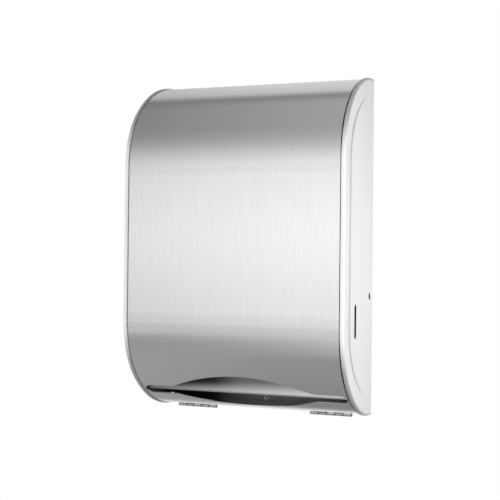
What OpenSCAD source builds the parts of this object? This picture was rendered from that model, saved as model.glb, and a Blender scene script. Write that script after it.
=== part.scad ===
// Wall dispenser for folded paper sheets.
// A rolled steel front between two moulded caps swings down as one cover on two butt hinges,
// and a sprung button on the wall plate holds it shut.
// Millimetres. X to the right, Y into the wall, Z up. The origin is on the wall plane, at the
// centre of the four wall holes.

/* [Cabinet] */
// Height of the steel front
case_h = 405; // [370:1:450]
// Width over the flat faces of the side caps
case_w = 269; // [250:1:310]
// Depth from the wall to the steel front
case_d = 132; // [122:1:145]
// Radius of the bend next to the flat front
front_r = 97; // [85:1:105]
// Thickness of every steel sheet
sheet_t = 1; // [0.8:0.1:1.5]
// Outer radius of the folded corners
bend_r = 2.4; // [2:0.1:4]

/* [Side caps] */
// Width of the rim, from the steel to the cap face
rim_w = 5.5; // [5:0.1:7]
// Radius of the rounded edge of the rim
rim_r = 1.8; // [1:0.1:3]
// Gap between the steel and the rim
seam_gap = 1.2; // [0.8:0.1:1.6]
// How far the rim stands above the steel
rim_proud = 1.2; // [0.5:0.1:2]
// Thickness of the side wall
cap_wall = 3; // [2.5:0.1:4]
// Length of the collar that the steel sits on
collar_len = 4; // [3:0.5:6]
// Thickness of the collar
collar_t = 3.7; // [3:0.1:4.5]
// Distance from the steel outline to the raised panel
panel_inset = 21; // [15:1:30]
// Height of the raised panel at its front edge
panel_rise = 1.7; // [0.8:0.1:2.2]
// Where the raised panel runs out, from the wall
panel_end = 28; // [24:1:40]
// Length of the sight slit
slit_len = 37; // [25:1:50]
// Width of the sight slit
slit_w = 5; // [4:0.1:6]

/* [Mouth] */
// Height of the full width slot
slot_h = 19; // [14:1:24]
// Distance along the steel from the wall to the middle of the slot
slot_arc = 88.5; // [82:0.5:94]
// Steel left beyond each end of the slot
slot_margin = 2; // [2:0.5:6]
// Half height of the finger opening
finger_h = 35; // [26:1:40]
// Radius of the two long edges of the finger opening
finger_r = 165; // [140:1:190]
// Radius where the finger opening runs into the slot
finger_blend = 15; // [6:1:25]

/* [Hinges] */
// Length of a hinge
hinge_len = 52; // [44:1:60]
// Gap between a hinge and the collar of the cap beside it
hinge_gap = 11; // [6:0.5:20]
// Distance of the hinge axis from the wall
hinge_y = 14; // [13:0.5:18]
// Radius of a knuckle
knuckle_r = 2.1; // [1.9:0.1:2.3]
// Radius of a hinge pin
pin_r = 1.1; // [0.9:0.1:1.3]
// Thickness of a hinge leaf
leaf_t = 1.2; // [1:0.1:1.5]
// How far the leaf on the cover reaches past the axis
leaf_reach = 23; // [20:1:28]

/* [Latch] */
// Radius of the sprung button
button_r = 3.4; // [3:0.1:3.8]
// Height of the button above the bottom of the steel
button_up = 142.8; // [110:0.1:180]
// Distance of the button from the wall
button_y = 14.7; // [13:0.1:16]
// Length of the spring strip
strip_len = 72; // [60:1:90]
// Width of the spring strip
strip_w = 8; // [7:0.5:9]
// Thickness of the spring strip
strip_t = 0.6; // [0.4:0.1:0.8]

/* [Paper tray] */
// Height of the tray floor above the bottom of the steel
tray_up = 26; // [24:1:32]
// Distance of the tray front from the wall
tray_d = 79; // [76:1:84]
// Height of the tray front
tray_h = 38; // [30:1:50]
// Distance of the ends of the floor opening from the cap faces
tray_hole_side = 39.5; // [30:0.5:60]
// Width of the opening in the tray floor
tray_hole_w = 30; // [24:1:34]

/* [Wall plate] */
// Depth of the side flanges
flange_d = 20.5; // [20:0.5:22]
// Distance of the wall holes from the cap faces
wall_hole_side = 39.5; // [35:0.5:60]
// Distance of the wall holes from the top and bottom of the steel
wall_hole_end = 52.5; // [48:0.5:80]
// Radius of a wall hole
wall_hole_r = 3.25; // [2.5:0.05:4]

/* [Fasteners] */
// Radius of a rivet shank
rivet_r = 1.5; // [1.2:0.1:1.8]
// Radius of a rivet head
rivet_head_r = 2.6; // [2.2:0.1:3]
// Radius of a screw shank
screw_r = 1.95; // [1.5:0.05:2.2]
// Radius of a screw head
screw_head_r = 3.6; // [3:0.1:4]

/* [Clearances] */
// Round a pin, rivet or screw
fit = 0.05; // [0.02:0.01:0.08]
// Between pieces that pass each other
run = 0.5; // [0.4:0.1:0.8]
// Between neighbouring knuckles
knuckle_gap = 0.6; // [0.4:0.05:1]

/* [Hidden] */
$fn = 96;
steel = [0.78, 0.78, 0.77];
zinc = [0.62, 0.64, 0.66];
white = [0.95, 0.95, 0.93];
black = [0.12, 0.12, 0.13];

half_h = case_h / 2;
half_w = case_w / 2;
floor_z = -half_h;
past = 1; // how far a cut runs past a face
bite = 0.1; // how far one form runs into the next
cut = 10; // length of a cut through thin sheet

// Side outline: two bends that meet at 45 degrees, above and below a flat front
bend_in = case_d - front_r;
wide_r = front_r + bend_in * sqrt(2);
wide_z = half_h - wide_r;
front_z = wide_z + bend_in;

// Caps
seam_x = half_w - rim_w;
lip_x = seam_x + seam_gap;
rim_t = half_w - lip_x;
cap_in_x = half_w - cap_wall;
collar_x = seam_x - collar_len;
collar_in = sheet_t + collar_t;
groove_wall = 1.5;
panel_slope = panel_rise / (case_d - panel_inset - panel_end);
cap_back = 0.8;
collar_back = 3;
wrap_back = 1.5;
slit_y = case_d * 0.656;
slit_z = floor_z + case_h * 0.287;
slit_skin = 0.6;
slit_room = 8;
slit_skin_x = half_w + panel_slope * (slit_y - panel_end) - slit_skin;
button_z = floor_z + button_up;
button_hole_r = button_r + run;
rib_t = 2;
rib_h = 3;
rib_back = 6;
collar_gap = 8;

// Mouth, laid out flat on the plane that touches the steel at the slot
slot_angle = slot_arc / wide_r * 180 / PI;
slot_half = seam_x - slot_margin;
finger_c = finger_r - finger_h;
mouth_depth = 24;

// Hinges
hinge_x = collar_x - hinge_gap - hinge_len / 2;
knuckle_rise = 0.1;
leaf_z = floor_z + sheet_t;
axis_z = leaf_z + knuckle_rise - knuckle_r;
knuckles = 5;
pitch = hinge_len / knuckles;
clear_r = knuckle_r + run;
strap_lap = 1;
cover_edge_y = hinge_y + clear_r;
lip_back = 2;
cover_lip_y = hinge_y - lip_back;
pin_head = 0.9;
notch_len = hinge_len + 2 * (pin_head + run);
plate_edge_y = hinge_y - clear_r;
rivet_shift = 0.6;
cover_rivet_y = (cover_edge_y + hinge_y + leaf_reach) / 2 + rivet_shift;
cover_rivet_angle = asin(cover_rivet_y / wide_r);
rivet_x = hinge_len * 0.31;
rivet_head_t = 0.8;
grip_slack = 0.03;
cover_grip = sheet_t + leaf_t + grip_slack;

// Wall plate
flange_gap = 0.9;
flange_x = cap_in_x - flange_gap;
neck_gap = 1.5;
neck_x = collar_x - neck_gap;
plate_drop = 7;
plate_top = half_h - plate_drop;
shoulder_up = 14;
shoulder_low = floor_z + shoulder_up;
shoulder_drop = 15;
shoulder_high = half_h - shoulder_drop;
fold_gap = 0.2;
fold_lap = 4;
plate_leaf_y = (plate_edge_y + bend_r + fold_gap) / 2;
top_flange_d = 16;
wall_dx = case_w - 2 * wall_hole_side;
wall_dz = case_h - 2 * wall_hole_end;
corner_up = 11.5;
corner_d = 6;
dimple_up = 12;
dimple_r = 3;
dimple_d = 0.7;

// Latch strip on the inside of the right flange
strip_x = flange_x - sheet_t;
strip_below = 9;
strip_top = button_z + strip_len - strip_below;
latch_head_t = 0.5;
strip_rivet_end = 6;
strip_rivet_pitch = 10;
strip_rivet_z = [for (i = [0, 1]) strip_top - strip_rivet_end - i * strip_rivet_pitch];
button_sink = 0.3;
button_edge = 1;
button_room = 0.5;

// Tray and rail
tray_z = floor_z + tray_up;
tray_back = 24;
tray_lip = 8;
tray_hole_len = case_w - 2 * tray_hole_side;
ear_gap = 4;
ear_x = seam_x - ear_gap;
ear_h = 20;
ear_from_front = 9;
ear_from_back = 10;
ear_edge = 8;
ear_front = tray_d - ear_from_front;
ear_rear = tray_back + ear_from_back;
tray_screw_y = [ear_front - ear_edge, ear_rear + ear_edge];
tray_screw_up = 11;
tray_screw_z = tray_z + tray_screw_up;
rail_drop = 33;
rail_z = half_h - rail_drop;
rail_front = 40;
rail_rear = 8.2;
rail_front_h = 16;
rail_rear_h = 14;
rail_ear = 4;
rail_screw_gap = 7;
rail_screw_y = flange_d + rail_screw_gap;
rail_screw_up = 10;
rail_screw_z = rail_z + rail_screw_up;
boss_wall = 2.6;
boss_r = screw_r + boss_wall;
screw_head_t = 2.2;
screw_short = 0.2;
recess_w = 0.9;
recess_d = 1.4;
screw_bite = 0.9;
screw_grip = cap_in_x + screw_bite;

// Tabs that hold the steel to the caps
tab_r = 7;
tab_room = 1;
tab_depth = 12;
tab_in = case_d - tab_depth;
tab_z = front_z * 0.75;
tab_skin = 1.1;
tab_screw_end = half_w - tab_skin;

// Stop pads behind the rail
pad_r = 5;
pad_edge = 1;
pad_gap = 0.3;
pad_in = 2;
pad_x = wall_dx / 2 - pad_in;
pad_up = 7;
pad_z = rail_z + pad_up;

// Shared shapes

// Runs a section drawn as (y, z) along X
module along_x(x0, x1) {
    translate([x0, 0, 0]) rotate([90, 0, 90]) linear_extrude(x1 - x0) children();
}

// Puts children on a level axis along X at (y, z), starting at x
module at_x(x, y, z) {
    translate([x, -y, z]) rotate([0, 90, 0]) children();
}

// Wedge between straight up and 45 degrees forward, from the centre of a wide bend
module wide_wedge(side) {
    reach = case_h;
    polygon([[0, side * wide_z], [0, side * (wide_z + reach)],
        [-reach, side * (wide_z + reach)]]);
}

// Side outline, moved in by a given distance
module outline(inset) {
    intersection() {
        translate([-2 * case_d, -case_h]) square([2 * case_d, 2 * case_h]);
        union() {
            for (side = [1, -1]) {
                translate([-bend_in, side * front_z]) circle(front_r - inset, $fn = 180);
                intersection() {
                    translate([0, side * wide_z]) circle(wide_r - inset, $fn = 240);
                    wide_wedge(side);
                }
            }
            translate([inset - case_d, -front_z]) square([case_d - inset, 2 * front_z]);
        }
    }
}

// Band that follows the side outline
module band(inset, thick) {
    difference() {
        outline(inset);
        outline(inset + thick);
    }
}

// Folded corner with one leg along X and one along Y
module fold(leg_x, leg_y) {
    translate([bend_r, 0]) square([leg_x - bend_r, sheet_t]);
    translate([0, bend_r]) square([sheet_t, leg_y - bend_r]);
    intersection() {
        translate([bend_r, bend_r]) difference() {
            circle(bend_r);
            circle(bend_r - sheet_t);
        }
        square([bend_r, bend_r]);
    }
}

// Pan head screw along Z, head down, shank up
module screw(length) {
    cylinder(r = screw_r, h = length);
    difference() {
        translate([0, 0, -screw_head_t]) cylinder(r1 = screw_head_r * 0.75, r2 = screw_head_r,
            h = screw_head_t);
        for (turn = [0, 90]) rotate(turn)
            translate([0, 0, -screw_head_t]) cube([screw_head_r, recess_w, 2 * recess_d],
                center = true);
    }
}

// Rivet along Z through a grip that starts at zero
module rivet(grip, low_t, high_t) {
    translate([0, 0, -bite]) cylinder(r = rivet_r, h = grip + 2 * bite);
    translate([0, 0, -low_t]) cylinder(r1 = rivet_head_r * 0.8, r2 = rivet_head_r, h = low_t);
    translate([0, 0, grip]) cylinder(r1 = rivet_head_r, r2 = rivet_head_r * 0.8, h = high_t);
}

// Hinges

// Knuckles of one leaf: first is 0 or 1, then every second one
module knuckle_row(first) {
    for (i = [first : 2 : knuckles - 1])
        at_x(i * pitch - hinge_len / 2 + knuckle_gap / 2, hinge_y, axis_z)
            cylinder(r = knuckle_r, h = pitch - knuckle_gap);
}

// Straps that join the knuckles of one leaf to its plate, and run down on the side of the axis
// given by the second value
module strap_row(first, back) {
    for (i = [first : 2 : knuckles - 1]) {
        x0 = i * pitch - hinge_len / 2 + knuckle_gap / 2;
        along_x(x0, x0 + pitch - knuckle_gap) {
            children();
            translate([(back - 1) * knuckle_r - hinge_y, axis_z])
                square([knuckle_r, leaf_z + leaf_t - axis_z]);
        }
    }
}

module pin_bore() {
    at_x(-hinge_len, hinge_y, axis_z) cylinder(r = pin_r + fit, h = 2 * hinge_len);
}

// Places children for the hole and rivet spots of a leaf on the wall plate
module wall_rivet_spots() {
    for (x = [-rivet_x, rivet_x])
        translate([x, -plate_leaf_y, floor_z]) children();
}

// The same for a leaf on the cover, square to the rolled steel, from its outer face inwards
module cover_rivet_spots() {
    for (x = [-rivet_x, rivet_x])
        translate([x, 0, -wide_z]) rotate([-cover_rivet_angle, 0, 0])
            translate([0, 0, -wide_r]) children();
}

module wall_leaf() {
    difference() {
        union() {
            translate([-hinge_len / 2, -plate_edge_y, leaf_z])
                cube([hinge_len, plate_edge_y - bend_r - fold_gap, leaf_t]);
            strap_row(1, 1) translate([-hinge_y, leaf_z])
                square([clear_r + strap_lap, leaf_t]);
            knuckle_row(1);
        }
        pin_bore();
        wall_rivet_spots() cylinder(r = rivet_r + fit, h = cut);
    }
}

// Part of a band inside the rolled steel between two distances from the wall
module leaf_section(near, far) {
    intersection() {
        band(sheet_t, leaf_t);
        translate([-far, floor_z - past]) square([far - near, half_h]);
    }
}

module cover_leaf() {
    difference() {
        union() {
            along_x(-hinge_len / 2, hinge_len / 2)
                leaf_section(cover_edge_y, hinge_y + leaf_reach);
            strap_row(0, 0) leaf_section(hinge_y, cover_edge_y + strap_lap);
            knuckle_row(0);
        }
        pin_bore();
        cover_rivet_spots() translate([0, 0, -past]) cylinder(r = rivet_r + fit, h = cut);
    }
}

module hinge_pin() {
    reach = hinge_len / 2;
    at_x(-reach, hinge_y, axis_z) cylinder(r = pin_r, h = hinge_len);
    for (side = [0, 1]) mirror([side, 0, 0])
        at_x(reach - bite, hinge_y, axis_z)
            cylinder(r1 = knuckle_r * 0.75, r2 = pin_r, h = pin_head);
}

module hinge_left_wall_leaf() { color(zinc) translate([-hinge_x, 0, 0]) wall_leaf(); }
module hinge_right_wall_leaf() { color(zinc) translate([hinge_x, 0, 0]) wall_leaf(); }
module hinge_left_cover_leaf() { color(zinc) translate([-hinge_x, 0, 0]) cover_leaf(); }
module hinge_right_cover_leaf() { color(zinc) translate([hinge_x, 0, 0]) cover_leaf(); }
module hinge_left_pin() { color(zinc) translate([-hinge_x, 0, 0]) hinge_pin(); }
module hinge_right_pin() { color(zinc) translate([hinge_x, 0, 0]) hinge_pin(); }

module wall_leaf_rivets() {
    color(zinc) for (side = [-1, 1]) translate([side * hinge_x, 0, 0])
        wall_rivet_spots() rivet(sheet_t + leaf_t, rivet_head_t, rivet_head_t);
}

module cover_leaf_rivets() {
    color(zinc) for (side = [-1, 1]) translate([side * hinge_x, 0, 0])
        cover_rivet_spots() rivet(cover_grip, rivet_head_t, rivet_head_t);
}

// Wall plate, latch and stop pads

module back_plate() {
    color(zinc) difference() {
        union() {
            rotate([90, 0, 0]) linear_extrude(sheet_t)
                translate([bend_r - flange_x, floor_z + bend_r])
                    square([2 * (flange_x - bend_r), plate_top - floor_z - 2 * bend_r]);
            for (side = [0, 1]) mirror([side, 0, 0]) translate([flange_x, 0, 0]) rotate(180) {
                translate([0, 0, shoulder_low]) linear_extrude(shoulder_high - shoulder_low)
                    fold(bend_r + fold_lap, flange_d);
                translate([0, 0, floor_z + corner_up])
                    linear_extrude(shoulder_up - corner_up + fold_lap)
                        fold(bend_r + fold_lap, corner_d);
            }
            along_x(-neck_x, neck_x)
                translate([0, floor_z]) rotate(90) fold(bend_r + fold_lap, plate_edge_y);
            along_x(bend_r - flange_x, flange_x - bend_r)
                translate([0, plate_top]) mirror([0, 1]) rotate(90)
                    fold(bend_r + fold_lap, top_flange_d);
        }
        for (x = [-wall_dx / 2, wall_dx / 2], z = [-wall_dz / 2, wall_dz / 2])
            translate([x, past, z]) rotate([90, 0, 0])
                cylinder(r = wall_hole_r, h = sheet_t + 2 * past);
        translate([0, dimple_d - sheet_t, floor_z + dimple_up]) rotate([90, 0, 0])
            cylinder(r1 = dimple_r / 3, r2 = dimple_r, h = dimple_d + bite);
        for (side = [-1, 1]) translate([side * hinge_x, 0, 0])
            wall_rivet_spots() translate([0, 0, -past])
                cylinder(r = rivet_r + fit, h = sheet_t + 2 * past);
        at_x(strip_x - past, button_y, button_z)
            cylinder(r = button_hole_r + button_room, h = sheet_t + 2 * past);
        for (z = strip_rivet_z) at_x(strip_x - past, button_y, z)
            cylinder(r = rivet_r + fit, h = sheet_t + 2 * past);
    }
}

// Spring strip with its button drawn from the same steel
module latch_spring() {
    tip = half_w - button_sink - strip_x;
    color(black) difference() {
        union() {
            translate([strip_x - strip_t, -button_y - strip_w / 2, strip_top - strip_len])
                cube([strip_t, strip_w, strip_len]);
            at_x(strip_x - strip_t, button_y, button_z) rotate_extrude() {
                square([button_r, strip_t + tip - button_edge]);
                square([button_r - button_edge, strip_t + tip]);
                intersection() {
                    translate([button_r - button_edge, strip_t + tip - button_edge])
                        circle(button_edge);
                    square([button_r, strip_t + tip]);
                }
            }
        }
        for (z = strip_rivet_z) at_x(strip_x - strip_t - past, button_y, z)
            cylinder(r = rivet_r + fit, h = strip_t + 2 * past);
    }
}

module latch_rivets() {
    color(zinc) for (z = strip_rivet_z) at_x(strip_x - strip_t, button_y, z)
        rivet(sheet_t + strip_t, rivet_head_t, latch_head_t);
}

module stop_pads() {
    length = rail_rear - sheet_t - pad_gap;
    color(black) for (x = [-pad_x, pad_x])
        translate([x, -sheet_t, pad_z]) rotate([90, 0, 0]) {
            cylinder(r = pad_r, h = length - pad_edge);
            translate([0, 0, length - pad_edge])
                cylinder(r1 = pad_r, r2 = pad_r - pad_edge, h = pad_edge);
        }
}

// Steel front

// Opening laid out flat: a full width slot with a finger opening across it
module mouth_shape() {
    end_r = slot_h / 2;
    square([2 * (slot_half - end_r), slot_h], center = true);
    for (side = [-1, 1]) translate([side * (slot_half - end_r), 0]) circle(end_r);
    intersection_for(side = [-1, 1])
        translate([0, side * finger_c]) circle(finger_r, $fn = 240);
    blend_y = end_r + finger_blend;
    span = finger_r + finger_blend;
    blend_x = sqrt(span * span - pow(finger_c + blend_y, 2));
    share = finger_r / span;
    for (x = [0, 1], y = [0, 1]) mirror([x, 0]) mirror([0, y]) difference() {
        polygon([[0, 0], [blend_x, 0], [blend_x, blend_y],
            [blend_x * share, (blend_y + finger_c) * share - finger_c]]);
        translate([blend_x, blend_y]) circle(finger_blend);
    }
}

module front_wrap() {
    color(steel) difference() {
        union() {
            along_x(-seam_x, seam_x) band(0, sheet_t);
            for (side = [0, 1], z = [-tab_z, tab_z]) mirror([side, 0, 0]) {
                at_x(seam_x - sheet_t, tab_in, z) cylinder(r = tab_r, h = sheet_t);
                translate([seam_x - sheet_t, sheet_t / 2 - case_d, z - tab_r])
                    cube([sheet_t, case_d - tab_in - sheet_t / 2, 2 * tab_r]);
            }
        }
        translate([-case_w, -wrap_back, 0]) cube([2 * case_w, case_d, case_h]);
        translate([-case_w, -cover_lip_y, -case_h]) cube([2 * case_w, case_d, case_h]);
        for (side = [-1, 1])
            translate([side * hinge_x - notch_len / 2, -cover_edge_y, -case_h])
                cube([notch_len, case_d, case_h]);
        translate([0, 0, -wide_z]) rotate([-slot_angle, 0, 0]) translate([0, 0, -wide_r])
            linear_extrude(mouth_depth, center = true) mouth_shape();
        for (side = [-1, 1]) translate([side * hinge_x, 0, 0])
            cover_rivet_spots() translate([0, 0, -past])
                cylinder(r = rivet_r + fit, h = sheet_t + 2 * past);
        for (side = [0, 1], z = [-tab_z, tab_z]) mirror([side, 0, 0])
            at_x(seam_x - sheet_t - past, tab_in, z)
                cylinder(r = screw_r + fit, h = sheet_t + 2 * past);
    }
}

// Side caps, drawn on the right

// Half section of a round plate whose outer edge is the rounded rim
module rim_section(radius) {
    square([radius - rim_r, rim_t]);
    square([radius, rim_t - rim_r]);
    intersection() {
        translate([radius - rim_r, rim_t - rim_r]) circle(rim_r);
        square([radius, rim_t]);
    }
}

// Plate with the side outline and a rounded rim
module rimmed_plate() {
    rotate([90, 0, 90]) translate([0, 0, lip_x]) {
        for (side = [1, -1]) {
            translate([-bend_in, side * front_z])
                rotate_extrude($fn = 180) rim_section(front_r + rim_proud);
            intersection() {
                translate([0, side * wide_z])
                    rotate_extrude($fn = 240) rim_section(wide_r + rim_proud);
                translate([0, 0, -past]) linear_extrude(rim_t + 2 * past) wide_wedge(side);
            }
        }
        translate([0, front_z, 0]) rotate([90, 0, 0]) linear_extrude(2 * front_z)
            mirror([1, 0]) rim_section(case_d + rim_proud);
    }
}

// Sight slit, wider by a given room on every side
module slit_shape(room) {
    width = slit_w + 2 * room;
    translate([-slit_y, slit_z]) {
        square([width, slit_len - slit_w], center = true);
        for (end = [-1, 1]) translate([0, end * (slit_len - slit_w) / 2]) circle(width / 2);
    }
}

// Panel that rises towards the front
module raised_panel() {
    far = case_d * 1.2;
    intersection() {
        along_x(cap_in_x, half_w + 2 * panel_rise) outline(panel_inset);
        linear_extrude(2 * case_h, center = true)
            polygon([[half_w - cap_wall / 2, -panel_end], [half_w, -panel_end],
                [half_w + panel_slope * (far - panel_end), -far], [half_w - cap_wall / 2, -far]]);
    }
}

// Collar under the steel, open at the mouth, the tabs and the wall, and the wall of the groove
// between the steel and the rim
module collar() {
    gap = slot_h + 2 * collar_gap;
    difference() {
        union() {
            along_x(collar_x, seam_x) band(sheet_t, collar_t);
            along_x(seam_x - bite, lip_x + bite) band(collar_in - groove_wall, groove_wall);
        }
        translate([0, -collar_back, -case_h]) cube([case_w, case_d, 2 * case_h]);
        translate([0, 0, -wide_z]) rotate([-slot_angle, 0, 0])
            translate([0, -gap / 2, -wide_r - past]) cube([seam_x, gap, cut]);
        for (z = [-tab_z, tab_z])
            translate([0, -case_d - past, z - tab_r - tab_room])
                cube([seam_x, tab_depth, 2 * (tab_r + tab_room)]);
    }
}

module boss(x0, y, z) {
    at_x(x0, y, z) cylinder(r = boss_r, h = cap_in_x + bite - x0);
}

module boss_bore(x0, x1, y, z) {
    at_x(x0 - past, y, z) cylinder(r = screw_r + fit, h = x1 - x0 + past);
}

module cap(latched) {
    difference() {
        union() {
            difference() {
                rimmed_plate();
                along_x(lip_x - past, cap_in_x) outline(collar_in);
            }
            raised_panel();
            collar();
            for (y = tray_screw_y) boss(ear_x, y, tray_screw_z);
            boss(ear_x, rail_screw_y, rail_screw_z);
            for (z = [-tab_z, tab_z]) boss(seam_x, tab_in, z);
            for (z = [-front_z, 0, front_z])
                translate([cap_in_x - rib_h, collar_in - bite - case_d, z - rib_t / 2])
                    cube([rib_h + bite, case_d - collar_in - flange_d - rib_back, rib_t]);
        }
        translate([0, -cap_back, -case_h]) cube([case_w, case_d, 2 * case_h]);
        for (y = tray_screw_y) boss_bore(ear_x, screw_grip, y, tray_screw_z);
        boss_bore(ear_x, screw_grip, rail_screw_y, rail_screw_z);
        for (z = [-tab_z, tab_z]) boss_bore(seam_x, tab_screw_end, tab_in, z);
        along_x(seam_x, half_w + 2 * panel_rise) slit_shape(0);
        along_x(seam_x, slit_skin_x) slit_shape(slit_room);
        if (latched) at_x(seam_x, button_y, button_z)
            cylinder(r = button_hole_r, h = rim_w + past);
    }
}

module side_cap_left() { color(white) mirror([1, 0, 0]) cap(false); }
module side_cap_right() { color(white) cap(true); }

// Tray and rail that tie the caps together

// End ear with its screw holes
module ears(front, rear, low, ys, z) {
    for (side = [0, 1]) mirror([side, 0, 0]) difference() {
        translate([ear_x - sheet_t, -front, low]) cube([sheet_t, front - rear, ear_h]);
        for (y = ys) at_x(ear_x - sheet_t - past, y, z)
            cylinder(r = screw_r + fit, h = sheet_t + 2 * past);
    }
}

module paper_tray() {
    color(steel) {
        difference() {
            along_x(-ear_x, ear_x) {
                translate([-tray_d, tray_z]) fold(tray_d - tray_back - bend_r, tray_h);
                translate([-tray_back, tray_z + sheet_t]) rotate(180)
                    fold(bend_r + fold_lap, tray_lip);
                translate([sheet_t - tray_d, tray_z + tray_h]) circle(sheet_t);
            }
            translate([0, -(tray_d + tray_back) / 2, tray_z - past])
                linear_extrude(sheet_t + 2 * past) {
                    square([tray_hole_len - tray_hole_w, tray_hole_w], center = true);
                    for (side = [-1, 1])
                        translate([side * (tray_hole_len - tray_hole_w) / 2, 0])
                            circle(tray_hole_w / 2);
                }
        }
        ears(ear_front, ear_rear, tray_z, tray_screw_y, tray_screw_z);
    }
}

module top_rail() {
    depth = (rail_front - rail_rear) / 2;
    color(zinc) {
        along_x(-ear_x, ear_x) {
            translate([-rail_front, rail_z]) fold(depth + bite, rail_front_h);
            translate([-rail_rear, rail_z]) mirror([1, 0]) fold(depth + bite, rail_rear_h);
        }
        ears(rail_front - rail_ear, rail_rear + rail_ear, rail_z, [rail_screw_y],
            rail_screw_z);
    }
}

module tray_screws() {
    color(zinc) for (side = [0, 1], y = tray_screw_y) mirror([side, 0, 0])
        at_x(ear_x - sheet_t, y, tray_screw_z)
            screw(screw_grip - ear_x + sheet_t - screw_short);
}

module rail_screws() {
    color(zinc) for (side = [0, 1]) mirror([side, 0, 0])
        at_x(ear_x - sheet_t, rail_screw_y, rail_screw_z)
            screw(screw_grip - ear_x + sheet_t - screw_short);
}

module cap_screws() {
    color(zinc) for (side = [0, 1], z = [-tab_z, tab_z]) mirror([side, 0, 0])
        at_x(seam_x - sheet_t, tab_in, z)
            screw(tab_screw_end - seam_x + sheet_t - screw_short);
}

back_plate();
hinge_left_wall_leaf();
hinge_right_wall_leaf();
hinge_left_pin();
hinge_right_pin();
wall_leaf_rivets();
latch_spring();
latch_rivets();
stop_pads();
front_wrap();
side_cap_left();
side_cap_right();
paper_tray();
top_rail();
hinge_left_cover_leaf();
hinge_right_cover_leaf();
cover_leaf_rivets();
tray_screws();
rail_screws();
cap_screws();
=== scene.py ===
"""Looks of a wall dispenser for folded paper sheets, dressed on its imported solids.

Metres. X to the right, Y into the wall, Z up, the origin on the wall plane.
"""

import logging
import math
from dataclasses import dataclass
from enum import Enum
from functools import reduce
from operator import add
from typing import Any, Callable, Iterable, Optional, Sequence, Union

import bmesh
import bpy
from mathutils import Matrix, Vector


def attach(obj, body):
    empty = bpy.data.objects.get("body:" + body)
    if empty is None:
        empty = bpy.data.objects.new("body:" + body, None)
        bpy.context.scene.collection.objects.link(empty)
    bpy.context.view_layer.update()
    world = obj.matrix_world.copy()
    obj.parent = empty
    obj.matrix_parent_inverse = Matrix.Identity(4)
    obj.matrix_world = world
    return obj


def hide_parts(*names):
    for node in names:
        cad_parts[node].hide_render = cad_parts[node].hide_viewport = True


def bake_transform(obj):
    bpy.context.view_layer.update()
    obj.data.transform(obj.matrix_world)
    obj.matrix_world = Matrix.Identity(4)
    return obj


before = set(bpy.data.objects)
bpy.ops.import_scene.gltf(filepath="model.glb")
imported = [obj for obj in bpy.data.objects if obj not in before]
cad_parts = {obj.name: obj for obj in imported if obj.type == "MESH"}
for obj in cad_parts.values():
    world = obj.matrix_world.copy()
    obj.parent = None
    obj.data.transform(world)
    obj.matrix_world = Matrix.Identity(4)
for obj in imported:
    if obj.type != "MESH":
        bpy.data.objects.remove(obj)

log = logging.getLogger("dispenser")

Colour = tuple[float, float, float]
Spot = tuple[float, float, float]
Stretch = tuple[float, float, float]
Span = tuple[float, float]
Stops = tuple[tuple[float, float], ...]
SocketKey = Union[str, int]

# Levels of a blend, the middle of a noise or a step, and a stretch that changes nothing
RISING: Span = (0.0, 1.0)
FALLING: Span = (1.0, 0.0)
MIDDLE = 0.5
EVEN: Stretch = (1.0, 1.0, 1.0)

# A ramp's levels end at 1, so a curve's levels are halved in it
CURVE_TOP = 2.0

# Sockets of a Mix node that blends colours
MIX_SHARE, MIX_FIRST, MIX_SECOND, MIX_OUT = 0, 6, 7, 2

# Single strokes of the brush are no longer than this stretch makes them
STROKE_STRETCH = 0.06

# Colours of painted shade, of painted shade and a painted highlight on zinc, and of painted shade
# on the moulding's inner faces
PAINTED_SHADE: Colour = (0.02, 0.02, 0.02)
ZINC_SHADE: Colour = (0.03, 0.03, 0.03)
ZINC_HIGHLIGHT: Colour = (0.85, 0.85, 0.85)
INNER_SHADE: Colour = (0.16, 0.162, 0.162)

# The wall plate's front lies before this Y, and the caps' collars are this deep
PLATE_FACE = -0.0005
COLLAR_DEPTH = 0.004

# The studio's floor, half of its width, and its white
FLOOR_LEVEL = -0.60
STUDIO_HALF = 7.0
STUDIO_WHITE = (1.0, 1.0, 1.0, 1.0)


class Lay(Enum):
    """Direction in which a sheet was brushed, as stretches of its grain along X, Y and Z."""

    UP_THE_SHEET = (1.0, 0.005, 0.005)
    ACROSS_THE_SHEET = (0.010, 1.0, 1.0)

    def strokes(self) -> Stretch:
        """Stretches for single strokes of the brush, which end sooner than the grain."""
        return tuple(max(along, STROKE_STRETCH) for along in self.value)


class Ease(Enum):
    """How a level goes from its start to its end."""

    STRAIGHT = "LINEAR"
    SOFT = "SMOOTHSTEP"


@dataclass(frozen=True)
class SideOutline:
    """Radii and centres of the two bends in the side outline of the steel, in metres."""

    wide: float = 0.146497
    wide_rise: float = 0.056003
    bend: float = 0.097
    bend_in: float = 0.035
    bend_rise: float = 0.091003

    def out(self, place: Vector) -> Vector:
        """The outline's own normal beside a place on the sheet.

        Args:
            place: The place.

        Returns:
            The normal, away from the inside.
        """
        back, rise = -place.y, abs(place.z)
        if back < rise - self.wide_rise:
            ahead, up = back, rise - self.wide_rise
        else:
            ahead, up = max(back - self.bend_in, 0.0), max(rise - self.bend_rise, 0.0)
        return Vector((0.0, -ahead, math.copysign(up, place.z))).normalized()


SIDE = SideOutline()


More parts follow.
